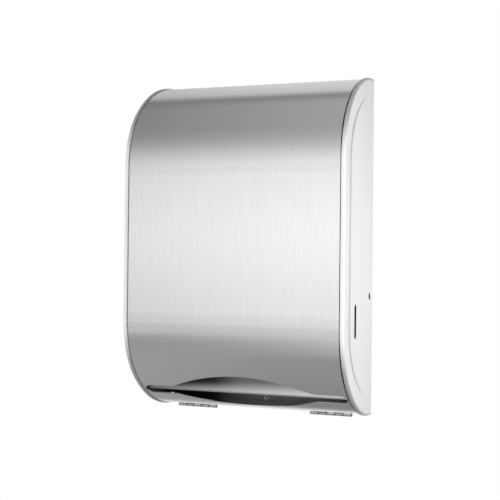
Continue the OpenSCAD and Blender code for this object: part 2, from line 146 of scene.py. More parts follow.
class Value:
    """One number, colour or vector that flows out of a node, with operators for shader maths."""

    def __init__(self, graph: "Graph", socket: bpy.types.NodeSocket) -> None:
        """Keeps the graph and the socket that the value comes from."""
        self.graph = graph
        self.socket = socket

    def _math(self, operation: str, first: Any, second: Any = 0.0) -> "Value":
        """Adds one Math node with values or numbers in its first two sockets."""
        return self.graph.node("ShaderNodeMath", {"operation": operation}, {0: first, 1: second})

    def __add__(self, other: Any) -> "Value":
        """Sum."""
        return self._math("ADD", self, other)

    def __radd__(self, other: Any) -> "Value":
        """Sum with the value on the right."""
        return self._math("ADD", other, self)

    def __sub__(self, other: Any) -> "Value":
        """Difference."""
        return self._math("SUBTRACT", self, other)

    def __rsub__(self, other: Any) -> "Value":
        """Difference with the value on the right."""
        return self._math("SUBTRACT", other, self)

    def __mul__(self, other: Any) -> "Value":
        """Product."""
        return self._math("MULTIPLY", self, other)

    def __rmul__(self, other: Any) -> "Value":
        """Product with the value on the right."""
        return self._math("MULTIPLY", other, self)

    def __truediv__(self, other: Any) -> "Value":
        """Quotient."""
        return self._math("DIVIDE", self, other)

    def __rtruediv__(self, other: Any) -> "Value":
        """Quotient with the value on the right."""
        return self._math("DIVIDE", other, self)

    def __pow__(self, other: Any) -> "Value":
        """Power."""
        return self._math("POWER", self, other)

    def __rpow__(self, other: Any) -> "Value":
        """Power with the value on the right."""
        return self._math("POWER", other, self)

    def most(self, other: Any) -> "Value":
        """The larger of two values."""
        return self._math("MAXIMUM", self, other)

    def under(self, other: Any) -> "Value":
        """One where the value is less than another, and else zero."""
        return self._math("LESS_THAN", self, other)

    def size(self) -> "Value":
        """The value without its sign."""
        return self._math("ABSOLUTE", self)

    def fraction(self) -> "Value":
        """What is left of the value above a whole number."""
        return self._math("FRACT", self)

    def reach(self, other: "Value") -> "Value":
        """Length of a line that goes this far one way and another value far across it."""
        return (self ** 2.0 + other ** 2.0) ** 0.5

    def angle_over(self, run: "Value") -> "Value":
        """Angle in degrees of a slope that rises by this value over a run."""
        return self._math("ARCTAN2", self, run) * math.degrees(1.0)


class Graph:
    """A node tree that grows by one node at a time."""

    def __init__(self, tree: bpy.types.NodeTree) -> None:
        """Empties the node tree of a material or of the world."""
        self.tree = tree
        tree.nodes.clear()

    def node(self, kind: str, settings: Optional[dict[str, Any]] = None,
             sockets: Optional[dict[SocketKey, Any]] = None, out: SocketKey = 0) -> Value:
        """Adds a node.

        Args:
            kind: The node's type.
            settings: Its own settings, set first; "stops" holds a ramp's stops.
            sockets: Values or links of its input sockets, by name or place.
            out: The output to return, by name or place.

        Returns:
            That output, or the first input of a node that has no output.
        """
        made = self.tree.nodes.new(kind)
        for name, value in (settings or {}).items():
            if name == "stops":
                self._stops(made.color_ramp, value)
            else:
                setattr(made, name, value)
        for key, value in (sockets or {}).items():
            if isinstance(value, Value):
                self.tree.links.new(value.socket, made.inputs[key])
            else:
                made.inputs[key].default_value = value
        return Value(self, made.outputs[out] if len(made.outputs) else made.inputs[0])

    @staticmethod
    def _stops(ramp: bpy.types.ColorRamp, stops: Sequence[tuple[float, float]]) -> None:
        """Sets the stops of a ramp.

        Args:
            ramp: The ramp.
            stops: Pairs of a place and a grey level.
        """
        while len(ramp.elements) > 1:
            ramp.elements.remove(ramp.elements[-1])
        for number, (place, level) in enumerate(stops):
            element = ramp.elements[0] if number == 0 else ramp.elements.new(place)
            element.position = place
            element.color = (level, level, level, 1.0)

    def axes(self, vector: Value) -> list[Value]:
        """The three parts of a vector."""
        parts = self.node("ShaderNodeSeparateXYZ", None, {0: vector})
        return [Value(self, part) for part in parts.socket.node.outputs]

    def spot(self) -> list[Value]:
        """Object coordinates in metres, along X, Y and Z."""
        return self.axes(self.node("ShaderNodeTexCoord", out="Object"))

    def rise(self) -> Value:
        """Distance in metres from the middle of the height."""
        return self.spot()[2].size()

    def depth(self) -> Value:
        """Distance in metres from the side outline of the steel, inwards.

        Returns:
            The distance, less than zero outside the outline.
        """
        back, rise = self.spot()[1].size(), self.rise()
        wide = SIDE.wide - back.reach(rise - SIDE.wide_rise)
        bend = SIDE.bend - (back - SIDE.bend_in).most(0.0).reach((rise - SIDE.bend_rise).most(0.0))
        return bend + (wide - bend) * back.under(rise - SIDE.wide_rise)

    def noise(self, waves: float, detail: float, stretch: Stretch) -> Value:
        """Noise over the object.

        Args:
            waves: Number of waves to the metre.
            detail: Number of finer waves laid over them.
            stretch: Share of the waves along X, Y and Z.

        Returns:
            The noise, from 0 to 1.
        """
        place = self.node("ShaderNodeVectorMath", {"operation": "MULTIPLY"}, {
            0: self.node("ShaderNodeTexCoord", out="Object"),
            1: tuple(waves * along for along in stretch)})
        return self.node("ShaderNodeTexNoise", None,
                         {"Vector": place, "Scale": 1.0, "Detail": detail})

    def between(self, value: Value, span: Span, levels: Span = RISING,
                ease: Ease = Ease.STRAIGHT) -> Value:
        """Level that goes from one to another as a value crosses a span.

        Args:
            value: What the level depends on.
            span: The values where the level starts and ends.
            levels: The levels at the start and the end, which hold before and after.
            ease: How the level goes between them.

        Returns:
            The level.
        """
        return self.node("ShaderNodeMapRange", {"interpolation_type": ease.value}, {
            "Value": value, "From Min": span[0], "From Max": span[1],
            "To Min": levels[0], "To Max": levels[1]})

    def curve(self, value: Value, stops: Stops) -> Value:
        """Level that goes from stop to stop as a value grows.

        Args:
            value: What the level depends on.
            stops: Pairs of a value and a level under 2, in rising order, 32 at most.

        Returns:
            The level.
        """
        first, span = stops[0][0], stops[-1][0] - stops[0][0]
        ramp = self.node("ShaderNodeValToRGB", {
            "stops": [((place - first) / span, level / CURVE_TOP) for place, level in stops]},
            {0: (value - first) / span})
        return self.axes(ramp)[0] * CURVE_TOP

    def blend(self, share: Value, first: Union[Value, Colour],
              second: Union[Value, Colour]) -> Value:
        """Colour between two colours.

        Args:
            share: Share of the second colour.
            first: The first colour.
            second: The second colour.

        Returns:
            The colour.
        """
        pair = [(*tint, 1.0) if isinstance(tint, tuple) else tint for tint in (first, second)]
        return self.node("ShaderNodeMix", {"data_type": "RGBA", "clamp_factor": True},
                         {MIX_SHARE: share, MIX_FIRST: pair[0], MIX_SECOND: pair[1]}, out=MIX_OUT)

    def bump(self, height: Value, depth: float, strength: float = 1.0,
             bed: Optional[Value] = None) -> Value:
        """Normal of a surface with a fine relief.

        Args:
            height: Height of the relief, from 0 to 1.
            depth: Its depth in metres.
            strength: Share of it that shows.
            bed: Normal of the surface under it, where that has one of its own.

        Returns:
            The normal.
        """
        under = {} if bed is None else {"Normal": bed}
        return self.node("ShaderNodeBump", None, {
            "Height": height, "Distance": depth, "Strength": strength, **under})

    def mix(self, share: Value, first: Value, second: Value) -> Value:
        """Shader between two shaders, by the share of the second."""
        return self.node("ShaderNodeMixShader", None, {0: share, 1: first, 2: second})

    def white(self) -> Value:
        """Shader of a surface that is as white as the picture can be."""
        return self.node("ShaderNodeEmission", None, {"Color": STUDIO_WHITE, "Strength": 1.0})

    def seen(self) -> Value:
        """One where a ray comes from the camera or from a mirror or glass, and else zero."""
        rays = ("Is Camera Ray", "Is Glossy Ray", "Is Transmission Ray")
        return reduce(Value.most, [self.node("ShaderNodeLightPath", out=ray) for ray in rays])


def paint(name: str, shader: Callable[[Graph], Value]) -> bpy.types.Material:
    """Makes a material.

    Args:
        name: The material's name.
        shader: What builds its shader in a graph.

    Returns:
        The material.
    """
    material = bpy.data.materials.new(name)
    material.use_nodes = True
    graph = Graph(material.node_tree)
    graph.node("ShaderNodeOutputMaterial", None, {"Surface": shader(graph)})
    return material


class Place:
    """A place on a piece that differs from the rest of it, its sizes in metres."""

    def share(self, graph: Graph) -> Value:
        """Share of the place, from zero to one; each place has its own."""
        raise NotImplementedError


class Mark(Place):
    """A place where a coat has another colour."""

    colour: Colour

    def over(self, graph: Graph, coat: Value) -> Value:
        """Colour of a coat with the mark on it."""
        return graph.blend(self.share(graph), coat, self.colour)


@dataclass(frozen=True)
class SheetEndShade(Mark):
    """Painted shade at both ends of the steel front, in a wider line at the right end of the bends.
    """

    colour: Colour = PAINTED_SHADE
    edge: float = 0.1289
    bend_edge: float = 0.1281
    bend_start: Span = (0.098, 0.138)
    thickness: float = 0.9

    def share(self, graph: Graph) -> Value:
        """Share of painted shade on the front.

        Args:
            graph: The graph to build in.

        Returns:
            The share, zero apart from both ends.
        """
        x = graph.spot()[0]
        right = graph.between(graph.rise(), self.bend_start, (self.edge, self.bend_edge))
        ends = (self.edge - x.size()).under(0.0).most((right - x).under(0.0))
        return ends * self.thickness


@dataclass(frozen=True)
class TrayShadow(Mark):
    """Painted shadow on the front of the tray, high up and most on the left, where the steel front
    shades it.
    """

    colour: Colour = PAINTED_SHADE
    height: Span = (-0.180, -0.1605)
    slant: float = 0.05
    width: Span = (-0.045, 0.0)
    thickness: Span = (0.985, 0.78)

    def share(self, graph: Graph) -> Value:
        """Share of painted shadow on the tray.

        Args:
            graph: The graph to build in.

        Returns:
            The share, from zero at the lower edge to nearly one in the upper left.
        """
        x, _, z = graph.spot()
        high = graph.between(z - x * self.slant, self.height, ease=Ease.SOFT)
        return high * graph.between(x, self.width, self.thickness, Ease.SOFT)


@dataclass(frozen=True)
class KnuckleGapShade(Mark):
    """Painted shade in the gaps where the knuckles of the hinges meet."""

    colour: Colour = ZINC_SHADE
    first: float = 0.062
    pitch: float = 0.0104
    half: float = 0.0007
    top: float = -0.2013

    def share(self, graph: Graph) -> Value:
        """Share of painted shade on the hinges.

        Args:
            graph: The graph to build in.

        Returns:
            One beside the gaps between knuckles, and else zero.
        """
        x, _, z = graph.spot()
        gap = ((x.size() - self.first) / self.pitch + MIDDLE).fraction() - MIDDLE
        return (gap.size() * self.pitch).under(self.half) * z.under(self.top)


@dataclass(frozen=True)
class LowCornerShade(Mark):
    """Painted shade on the front of the wall plate, low down and most on the left."""

    colour: Colour = ZINC_SHADE
    height: Span = (-0.176, -0.150)
    width: Span = (-0.075, -0.045)
    strength: Span = (0.97, 0.6)

    def share(self, graph: Graph) -> Value:
        """Share of painted shade on the plate.

        Args:
            graph: The graph to build in.

        Returns:
            The share, from zero above to nearly one in the low left corner.
        """
        x, y, z = graph.spot()
        low = graph.between(z, self.height, FALLING, Ease.SOFT)
        aside = graph.between(x, self.width, self.strength, Ease.SOFT)
        return low * aside * y.under(PLATE_FACE)


@dataclass(frozen=True)
class DimpleLightAndShade(Mark):
    """A painted round at the dimple, low in the front of the wall plate: with a light colour a
    painted highlight on its rim, with a dark one painted shade in its middle.
    """

    colour: Colour
    radius: float
    height: float = -0.1905

    def share(self, graph: Graph) -> Value:
        """One within the round, and else zero."""
        x, y, z = graph.spot()
        return x.reach(z - self.height).under(self.radius) * y.under(PLATE_FACE)


@dataclass(frozen=True)
class RimLightAndShade(Mark):
    """The rounded rim of a cap, with a painted highlight along the front and painted shade along
    the bends.
    """

    colour: Colour = (0.93, 0.935, 0.934)
    bend_shade: Colour = (0.46, 0.462, 0.461)
    width: Span = (0.0, 0.003)
    bend_start: Span = (0.095, 0.150)

    def share(self, graph: Graph) -> Value:
        """Share of the painted highlight and shade, from one at the outline to zero within it."""
        return graph.between(graph.depth(), self.width, FALLING, Ease.SOFT)

    def over(self, graph: Graph, coat: Value) -> Value:
        """Colour of a coat with the rim on it.

        Args:
            graph: The graph to build in.
            coat: Colour of the whole coat.

        Returns:
            The colour with the rim.
        """
        # Painted highlight along the front, painted shade along the bends
        bent = graph.between(graph.rise(), self.bend_start, ease=Ease.SOFT)
        edge = graph.blend(bent, self.colour, self.bend_shade)
        return graph.blend(self.share(graph), coat, edge)


@dataclass(frozen=True)
class PanelStepShade(Mark):
    """Painted shade along the foot of a cap's raised panel, which runs out towards the wall."""

    colour: Colour = INNER_SHADE
    line: Span = (0.0206, 0.0214)
    run_out: Span = (0.03, 0.06)
    thickness: float = 0.34

    def share(self, graph: Graph) -> Value:
        """Share of painted shade beside the panel.

        Args:
            graph: The graph to build in.

        Returns:
            The share, zero apart from the line.
        """
        depth, y = graph.depth(), graph.spot()[1]
        line = (self.line[0] - depth).under(0.0) * depth.under(self.line[1])
        return line * self.thickness * graph.between(0 - y, self.run_out)


@dataclass(frozen=True)
class InnerFaceShade(Mark):
    """Painted shade on the inner faces of a cap."""

    colour: Colour = INNER_SHADE
    half: float = 0.134

    def share(self, graph: Graph) -> Value:
        """One on the inner faces, and else zero."""
        x = graph.spot()[0]
        return x.size().under(self.half) * (COLLAR_DEPTH - graph.depth()).under(0.0)


@dataclass(frozen=True)
class SteelGroove(Place):
    """The groove of a cap beside the edge of the steel, which is painted with shade."""

    half: float = 0.13018

    def share(self, graph: Graph) -> Value:
        """One in the groove, and else zero."""
        x = graph.spot()[0]
        return x.size().under(self.half) * graph.depth().under(COLLAR_DEPTH)


@dataclass(frozen=True)
class SightSlit(Place):
    """The sight slit of a cap, and the wider pocket behind it, which are painted with shade."""

    ahead: float = 0.0866
    height: float = -0.0863
    half_run: float = 0.0152
    radius: float = 0.0045
    pocket_half: float = 0.1353
    pocket_radius: float = 0.0107

    def share(self, graph: Graph) -> Value:
        """Share of the slit and its pocket.

        Args:
            graph: The graph to build in.

        Returns:
            One in the slit and the pocket, and else zero.
        """
        x, y, z = graph.spot()
        past_end = ((z - self.height).size() - self.half_run).most(0.0)
        away = (y + self.ahead).reach(past_end)
        pocket = x.size().under(self.pocket_half) * away.under(self.pocket_radius)
        return away.under(self.radius).most(pocket)


@dataclass(frozen=True)
class ButtonHole(Place):
    """The hole for the latch's button in the right cap, which is painted with shade."""

    ahead: float = 0.0147
    height: float = -0.0597
    radius: float = 0.0041

    def share(self, graph: Graph) -> Value:
        """Share of the hole.

        Args:
            graph: The graph to build in.

        Returns:
            One in the hole, and else zero.
        """
        x, y, z = graph.spot()
        away = (y + self.ahead).reach(z - self.height)
        return away.under(self.radius) * (0 - x).under(0.0)


@dataclass(frozen=True)
class SoftBend:
    """How softly the bends start on both sides of the flat front, in metres."""

    height: float = 0.091
    half: float = 0.012
    fall: float = 0.0005

    def normal(self, graph: Graph) -> Value:
        """Normal of a sheet that starts to bend a little before the roller's line."""
        span = (self.height - self.half, self.height + self.half)
        return graph.bump(graph.between(graph.rise(), span, FALLING, Ease.SOFT), self.fall)


@dataclass(frozen=True)
class Layer:
    """A layer of noise: its waves to the metre, and how far it shifts tone, gloss and relief."""

    waves: float
    detail: float
    tone: float = 0.0
    gloss: float = 0.0
    relief: float = 0.0
    stretch: Stretch = EVEN

    def noise(self, graph: Graph) -> Value:
        """The layer's noise, from 0 to 1."""
        return graph.noise(self.waves, self.detail, self.stretch)


@dataclass(frozen=True)
class Finish:
    """What a surface is finished with: two tones, a gloss, layers of noise, and marks."""

    name: str
    light: Colour
    dark: Colour
    rough: float
    marks: tuple[Mark, ...] = ()
    balance: float = 0.5
    relief_depth: float = 0.00003
    relief_strength: float = 0.3

    def layers(self) -> dict[str, Layer]:
        """The layers of noise by name; each finish has its own."""
        raise NotImplementedError

    def sockets(self) -> dict[str, float]:
        """What is the same all over the surface."""
        return {}

    def deepen(self, graph: Graph, tone: Value) -> Value:
        """The shift of tone as it shows in each place."""
        return tone

    def bed(self, graph: Graph) -> Optional[Value]:
        """Normal of the surface under its relief, where it has one of its own."""
        return None

    def shader(self, graph: Graph) -> Value:
        """Builds the finish from its layers and marks.

        Args:
            graph: The graph to build in.

        Returns:
            The shader.
        """
        noises = [(layer, layer.noise(graph)) for layer in self.layers().values()]
        tone = reduce(add, [(noise - MIDDLE) * layer.tone for layer, noise in noises if layer.tone])
        gloss = reduce(add, [(noise - MIDDLE) * layer.gloss
                             for layer, noise in noises if layer.gloss])
        relief = reduce(add, [noise * layer.relief for layer, noise in noises if layer.relief])
        coat = graph.blend(self.deepen(graph, tone) + self.balance, self.dark, self.light)
        for mark in self.marks:
            coat = mark.over(graph, coat)
        return graph.node("ShaderNodeBsdfPrincipled", None, {
            "Base Color": coat,
            "Roughness": gloss + self.rough,
            "Normal": graph.bump(relief, self.relief_depth, self.relief_strength, self.bed(graph)),
            **self.sockets()})

    def material(self) -> bpy.types.Material:
        """The material, made once."""
        found = bpy.data.materials.get(self.name)
        return paint(self.name, self.shader) if found is None else found

    def coat(self, piece: bpy.types.Object) -> None:
        """Covers a piece all over."""
        piece.data.materials.clear()
        piece.data.materials.append(self.material())


@dataclass(frozen=True)
class BrushedSteel(Finish):
    """Bare stainless sheet with a brushed grain, which shows most on the flat front."""

    light: Colour = (0.785, 0.788, 0.787)
    dark: Colour = (0.715, 0.718, 0.718)
    rough: float = 0.22
    relief_strength: float = 0.2
    lay: Lay = Lay.UP_THE_SHEET
    gloss_stretch: float = 0.9
    flat_end: Span = (0.095, 0.125)
    contrast: Span = (2.3, 1.0)
    bend: Optional[SoftBend] = None

    def layers(self) -> dict[str, Layer]:
        """Streaks along the grain, single strokes and a soft cloud.

        Returns:
            The layers by name.
        """
        grain = self.lay.value
        return {
            "fine": Layer(1900.0, 2.0, tone=0.25, gloss=0.06, relief=0.6, stretch=grain),
            "strokes": Layer(520.0, 2.0, tone=0.5, relief=0.4, stretch=self.lay.strokes()),
            "broad": Layer(70.0, 1.0, tone=0.15, stretch=grain),
            "cloud": Layer(11.0, 2.0, tone=0.1, gloss=0.03)}

    def sockets(self) -> dict[str, float]:
        """Bare metal, with a gloss that is stretched across the grain."""
        return {"Metallic": 1.0, "Anisotropic": self.gloss_stretch}

    def deepen(self, graph: Graph, tone: Value) -> Value:
        """The shift of tone, larger on the flat front than on the bends."""
        return tone * graph.between(graph.rise(), self.flat_end, self.contrast)

    def bed(self, graph: Graph) -> Optional[Value]:
        """Normal under the grain, where the sheet starts to bend softly."""
        return self.bend.normal(graph) if self.bend else None


@dataclass(frozen=True)
class PlatedSteel(Finish):
    """Sheet or wire steel with a thin zinc coat."""

    light: Colour = (0.62, 0.63, 0.65)
    dark: Colour = (0.42, 0.43, 0.45)
    rough: float = 0.38
    balance: float = 0.55
    relief_strength: float = 0.4
    grain: float = 160.0
    specks_to_grain: float = 9.0

    def layers(self) -> dict[str, Layer]:
        """Soft patches of the coat, a fine speckle and duller spots.

        Returns:
            The layers by name.
        """
        return {
            "patch": Layer(self.grain, 3.0, tone=1.2, gloss=0.16, relief=0.5),
            "speck": Layer(self.grain * self.specks_to_grain, 2.0, tone=0.5, relief=0.5),
            "stain": Layer(22.0, 3.0, tone=0.6, gloss=0.12)}

    def sockets(self) -> dict[str, float]:
        """Bare metal."""
        return {"Metallic": 1.0}


@dataclass(frozen=True)
class MouldedWhite(Finish):
    """White moulded plastic with the fine texture of its mould, and painted shade in its recesses.
    """

    light: Colour = (0.795, 0.803, 0.801)
    dark: Colour = (0.752, 0.759, 0.758)
    rough: float = 0.34
    marks: tuple[Mark, ...] = (RimLightAndShade(), PanelStepShade(), InnerFaceShade())
    balance: float = 0.6
    relief_strength: float = 0.25
    bending_of_light: float = 1.53
    # Places painted with shade: the groove beside the steel, the sight slit with its pocket, and
    # the button's hole
    recesses: tuple[Place, ...] = (SteelGroove(), SightSlit(), ButtonHole())
    recess_shade_light: Colour = (0.024, 0.024, 0.026)
    recess_shade_dark: Colour = (0.012, 0.012, 0.013)
    recess_shade_rough: float = 0.9
    recess_shade_sheen: float = 0.0

    def layers(self) -> dict[str, Layer]:
        """A slight change of tone from the flow in the mould, and a pebbled gloss.

        Returns:
            The layers by name.
        """
        return {
            "flow": Layer(9.0, 2.0, tone=1.4, gloss=0.06, stretch=(1.0, 1.6, 0.7)),
            "pebble": Layer(1500.0, 1.0, tone=0.25, gloss=0.10, relief=0.7),
            "wave": Layer(60.0, 1.0, relief=0.3)}

    def sockets(self) -> dict[str, float]:
        """The plastic's own gloss."""
        return {"IOR": self.bending_of_light}

    def shader(self, graph: Graph) -> Value:
        """Builds the clean finish, with painted shade in the recesses.

        Args:
            graph: The graph to build in.

        Returns:
            The shader.
        """
        pebble = self.layers()["pebble"].noise(graph)
        recess_shade = graph.node("ShaderNodeBsdfPrincipled", None, {
            "Base Color": graph.blend(pebble, self.recess_shade_dark, self.recess_shade_light),
            "Roughness": self.recess_shade_rough,
            "Specular IOR Level": self.recess_shade_sheen})
        recess = reduce(Value.most, [place.share(graph) for place in self.recesses])
        return graph.mix(recess, super().shader(graph), recess_shade)


@dataclass(frozen=True)
class DarkSteel(Finish):
    """Spring steel, oxidised black."""

    light: Colour = (0.020, 0.020, 0.021)
    dark: Colour = (0.010, 0.010, 0.011)
    rough: float = 0.7
    sheen: float = 0.1

    def layers(self) -> dict[str, Layer]:
        """Dark oxide that thins out in patches, and a fine speckle."""
        return {"patch": Layer(210.0, 3.0, tone=2.0, gloss=0.2),
                "speck": Layer(1800.0, 1.0, gloss=0.1, relief=1.0)}

    def sockets(self) -> dict[str, float]:
        """The oxide's faint sheen."""
        return {"Specular IOR Level": self.sheen}


@dataclass(frozen=True)
class SoftRubber(Finish):
    """Dull black rubber."""

    light: Colour = (0.045, 0.045, 0.045)
    dark: Colour = (0.02, 0.02, 0.021)
    rough: float = 0.72
    relief_depth: float = 0.00005
    relief_strength: float = 0.4

    def layers(self) -> dict[str, Layer]:
        """A chalky bloom over a fine moulded skin."""
        return {"bloom": Layer(240.0, 3.0, tone=2.0, gloss=0.2),
                "skin": Layer(2400.0, 1.0, relief=1.0)}


# Painted shade at both ends of the steel front
FRONT_STEEL = BrushedSteel("front_brushed_steel", marks=(SheetEndShade(),), bend=SoftBend())
# Painted shadow high up on the tray's front, most on the left
TRAY_STEEL = BrushedSteel(
    "tray_satin_steel", light=(0.88, 0.88, 0.876), dark=(0.72, 0.72, 0.717), rough=0.42,
    marks=(TrayShadow(),), lay=Lay.ACROSS_THE_SHEET, gloss_stretch=0.0)
# Painted shade low on the plate's front; at the dimple a painted highlight ring with painted shade
# in its middle
PLATE_STEEL = PlatedSteel("plate_zinc_coat", marks=(
    LowCornerShade(), DimpleLightAndShade(ZINC_HIGHLIGHT, radius=0.0033), DimpleLightAndShade(PAINTED_SHADE, radius=0.0015)))
# Painted shade in the gaps between the hinges' knuckles
HINGE_STEEL = PlatedSteel(
    "hinge_zinc_coat", light=(0.66, 0.66, 0.66), dark=(0.50, 0.50, 0.505), rough=0.34,
    marks=(KnuckleGapShade(),), grain=260.0)
FASTENER_STEEL = PlatedSteel(
    "fastener_zinc_coat", light=(0.70, 0.70, 0.70), dark=(0.50, 0.50, 0.51), rough=0.26,
    grain=420.0)
# Painted highlight and shade on the rims, painted shade at the panels' foot, on the inner faces and
# in the recesses
CAP_WHITE = MouldedWhite("cap_white_moulding")
SPRING_STEEL = DarkSteel("spring_black_oxide")
PAD_RUBBER = SoftRubber("pad_black_rubber")


@dataclass(frozen=True)
class SubAssembly:
    """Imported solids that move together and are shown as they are."""

    body: str

    def finishes(self) -> dict[str, Finish]:
        """The finish of each solid by its name; each sub-assembly has its own."""
        raise NotImplementedError

    def dress(self) -> list[str]:
        """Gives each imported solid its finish.

        Returns:
            The names of the pieces that were dressed.
        """
        for name, finish in self.finishes().items():
            finish.coat(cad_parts[name])
        return list(self.finishes())


@dataclass(frozen=True)
class WallUnit(SubAssembly):
    """The plate on the wall, with the hinges' wall leaves and pins and the stop pads."""

    body: str = "wall_unit"

    def finishes(self) -> dict[str, Finish]:
        """The finish of each solid on the wall.

        Returns:
            The finishes by the solids' names.
        """
        return {
            "back_plate": PLATE_STEEL, "hinge_left_wall_leaf": HINGE_STEEL,
            "hinge_right_wall_leaf": HINGE_STEEL, "hinge_left_pin": FASTENER_STEEL,
            "hinge_right_pin": FASTENER_STEEL, "wall_leaf_rivets": FASTENER_STEEL,
            "latch_rivets": FASTENER_STEEL, "stop_pads": PAD_RUBBER}


@dataclass(frozen=True)
class Cover(SubAssembly):
    """The caps, the tray, the top rail and the hinges' cover leaves, which swing together."""

    body: str = "cover"

    def finishes(self) -> dict[str, Finish]:
        """The finish of each solid on the cover, apart from the steel front.

        Returns:
            The finishes by the solids' names.
        """
        return {
            "side_cap_left": CAP_WHITE, "side_cap_right": CAP_WHITE, "paper_tray": TRAY_STEEL,
            "top_rail": PLATE_STEEL, "hinge_left_cover_leaf": HINGE_STEEL,
            "hinge_right_cover_leaf": HINGE_STEEL, "cover_leaf_rivets": FASTENER_STEEL,
            "tray_screws": FASTENER_STEEL, "rail_screws": FASTENER_STEEL,
            "cap_screws": FASTENER_STEEL}


@dataclass(frozen=True)
class ShownCopy:
    """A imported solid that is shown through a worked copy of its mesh."""

    node: str
    piece_name: str
    slot: str
    finish: Finish

    def work(self, mesh: bpy.types.Mesh) -> None:
        """Works on the copied mesh; each copy has its own way."""
        raise NotImplementedError

    def hang(self, piece: bpy.types.Object) -> None:
        """Hangs the piece on the body or bodies that move it; each copy has its own."""
        raise NotImplementedError

    def build(self) -> bpy.types.Object:
        """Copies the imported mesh, works on it and puts it in the solid's place.

        Returns:
            The piece that is shown.
        """
        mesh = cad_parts[self.node].data.copy()
        self.work(mesh)
        piece = bpy.data.objects.new(self.piece_name, mesh)
        bpy.context.scene.collection.objects.link(piece)
        self.hang(piece)
        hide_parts(self.node)
        return piece

    def dress(self, piece: bpy.types.Object) -> None:
        """Gives the piece its finish."""
        self.finish.coat(piece)


@dataclass(frozen=True)
class SteelFront(ShownCopy):
    """The rolled front, whose grain runs up the sheet.

    Its texture space lies far off, in metres. A face counts as rolled where the cosine between
    its normal and the true arc's is more than a limit.
    """

    node: str = "front_wrap"
    piece_name: str = "steel_front"
    slot: str = "front_steel"
    finish: Finish = FRONT_STEEL
    body: str = "cover"
    texture_far: float = 12.0
    rolled_cosine: float = 0.997

    def work(self, mesh: bpy.types.Mesh) -> None:
        """Gives the sheet a texture space that lays the gloss across the grain.

        Args:
            mesh: The copied mesh.
        """
        mesh.use_auto_texspace = False
        mesh.texspace_location = (0.0, self.texture_far, 0.0)
        mesh.texspace_size = EVEN
        self.round_off(mesh)

    def round_off(self, mesh: bpy.types.Mesh) -> None:
        """Shades the rolled faces by the true arcs instead of the flat bands they are made of.

        Args:
            mesh: The copied mesh.
        """
        normals = [corner.vector.copy() for corner in mesh.corner_normals]
        for face in mesh.polygons:
            for loop in face.loop_indices:
                out = SIDE.out(mesh.vertices[mesh.loops[loop].vertex_index].co)
                turn = out.dot(face.normal)
                if abs(turn) > self.rolled_cosine:
                    normals[loop] = out * math.copysign(1.0, turn)
        mesh.normals_split_custom_set(normals)

    def hang(self, piece: bpy.types.Object) -> None:
        """Lets the sheet swing with the cover."""
        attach(piece, self.body)


@dataclass(frozen=True)
class LatchStrip(ShownCopy):
    """The spring strip of the latch, which is riveted at its head and bends below.

    It is cut into bands from its root down to the height where it is free, in metres.
    """

    node: str = "latch_spring"
    piece_name: str = "latch_strip"
    slot: str = "spring_steel"
    finish: Finish = SPRING_STEEL
    fixed_body: str = "wall_unit"
    free_body: str = "latch"
    root: Spot = (0.1293, -0.0147, -0.0157)
    free_height: float = -0.0500
    bands: int = 16
    weld: float = 1e-7

    def work(self, mesh: bpy.types.Mesh) -> None:
        """Cuts the strip into bands.

        Args:
            mesh: The copied mesh.
        """
        strip = bmesh.new()
        strip.from_mesh(mesh)
        drop = (self.free_height - self.root[2]) / self.bands
        for band in range(self.bands + 1):
            bmesh.ops.bisect_plane(
                strip, geom=[*strip.verts, *strip.edges, *strip.faces], dist=self.weld,
                plane_co=(0.0, 0.0, self.root[2] + band * drop), plane_no=(0.0, 0.0, 1.0))
        strip.to_mesh(mesh)
        strip.free()

    def hang(self, piece: bpy.types.Object) -> None:
        """Bakes the strip's place into its mesh."""
        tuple(self.root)
        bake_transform(piece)


@dataclass(frozen=True)
class PhotoCamera:
    """The camera where the photograph was taken from: angles in degrees, lens in millimetres."""

    turn: float = 20.40
    pitch: float = -0.52
    roll: float = 0.60
    stand: Spot = (0.4180, -1.1903, -0.0164)
    lens: float = 71.93
    sensor: float = 36.0
    reach: Span = (0.01, 100.0)

    def build(self) -> bpy.types.Object:
        """Sets up the camera.

        Returns:
            The camera.
        """
        turn, pitch, roll = (math.radians(angle) for angle in (self.turn, self.pitch, self.roll))
        back = Vector((math.sin(turn) * math.cos(pitch), -math.cos(turn) * math.cos(pitch),
                       math.sin(pitch)))
        level = Vector((math.cos(turn), math.sin(turn), 0.0))
        rise = level.cross(-back)
        right = level * math.cos(roll) + rise * math.sin(roll)
        up = rise * math.cos(roll) - level * math.sin(roll)
        data = bpy.data.cameras.new("photo_camera")
        data.sensor_width = self.sensor
        data.lens = self.lens
        data.clip_start, data.clip_end = self.reach
        data.dof.use_dof = False
        camera = bpy.data.objects.new("photo_camera", data)
        camera.matrix_world = Matrix.Translation(Vector(self.stand)) @ Matrix(
            (right, up, back)).transposed().to_4x4()
        bpy.context.scene.collection.objects.link(camera)
        bpy.context.scene.camera = camera
        return camera


@dataclass(frozen=True)
class Softbox:
    """A square lamp behind a diffuser, its side in metres and its power in watts."""

    name: str
    stand: Spot
    aim: Spot
    side: float
    power: float

    def build(self) -> bpy.types.Object:
        """Hangs the lamp.

        Returns:
            The lamp.
        """
        data = bpy.data.lights.new(self.name, "AREA")
        data.shape = "SQUARE"
        data.size = self.side
        data.energy = self.power
        lamp = bpy.data.objects.new(self.name, data)
        lamp.location = self.stand
        aim = Vector(self.aim) - Vector(self.stand)
        lamp.rotation_euler = aim.to_track_quat("-Z", "Y").to_euler()
        lamp.visible_camera = lamp.visible_glossy = False
        bpy.context.scene.collection.objects.link(lamp)
        return lamp


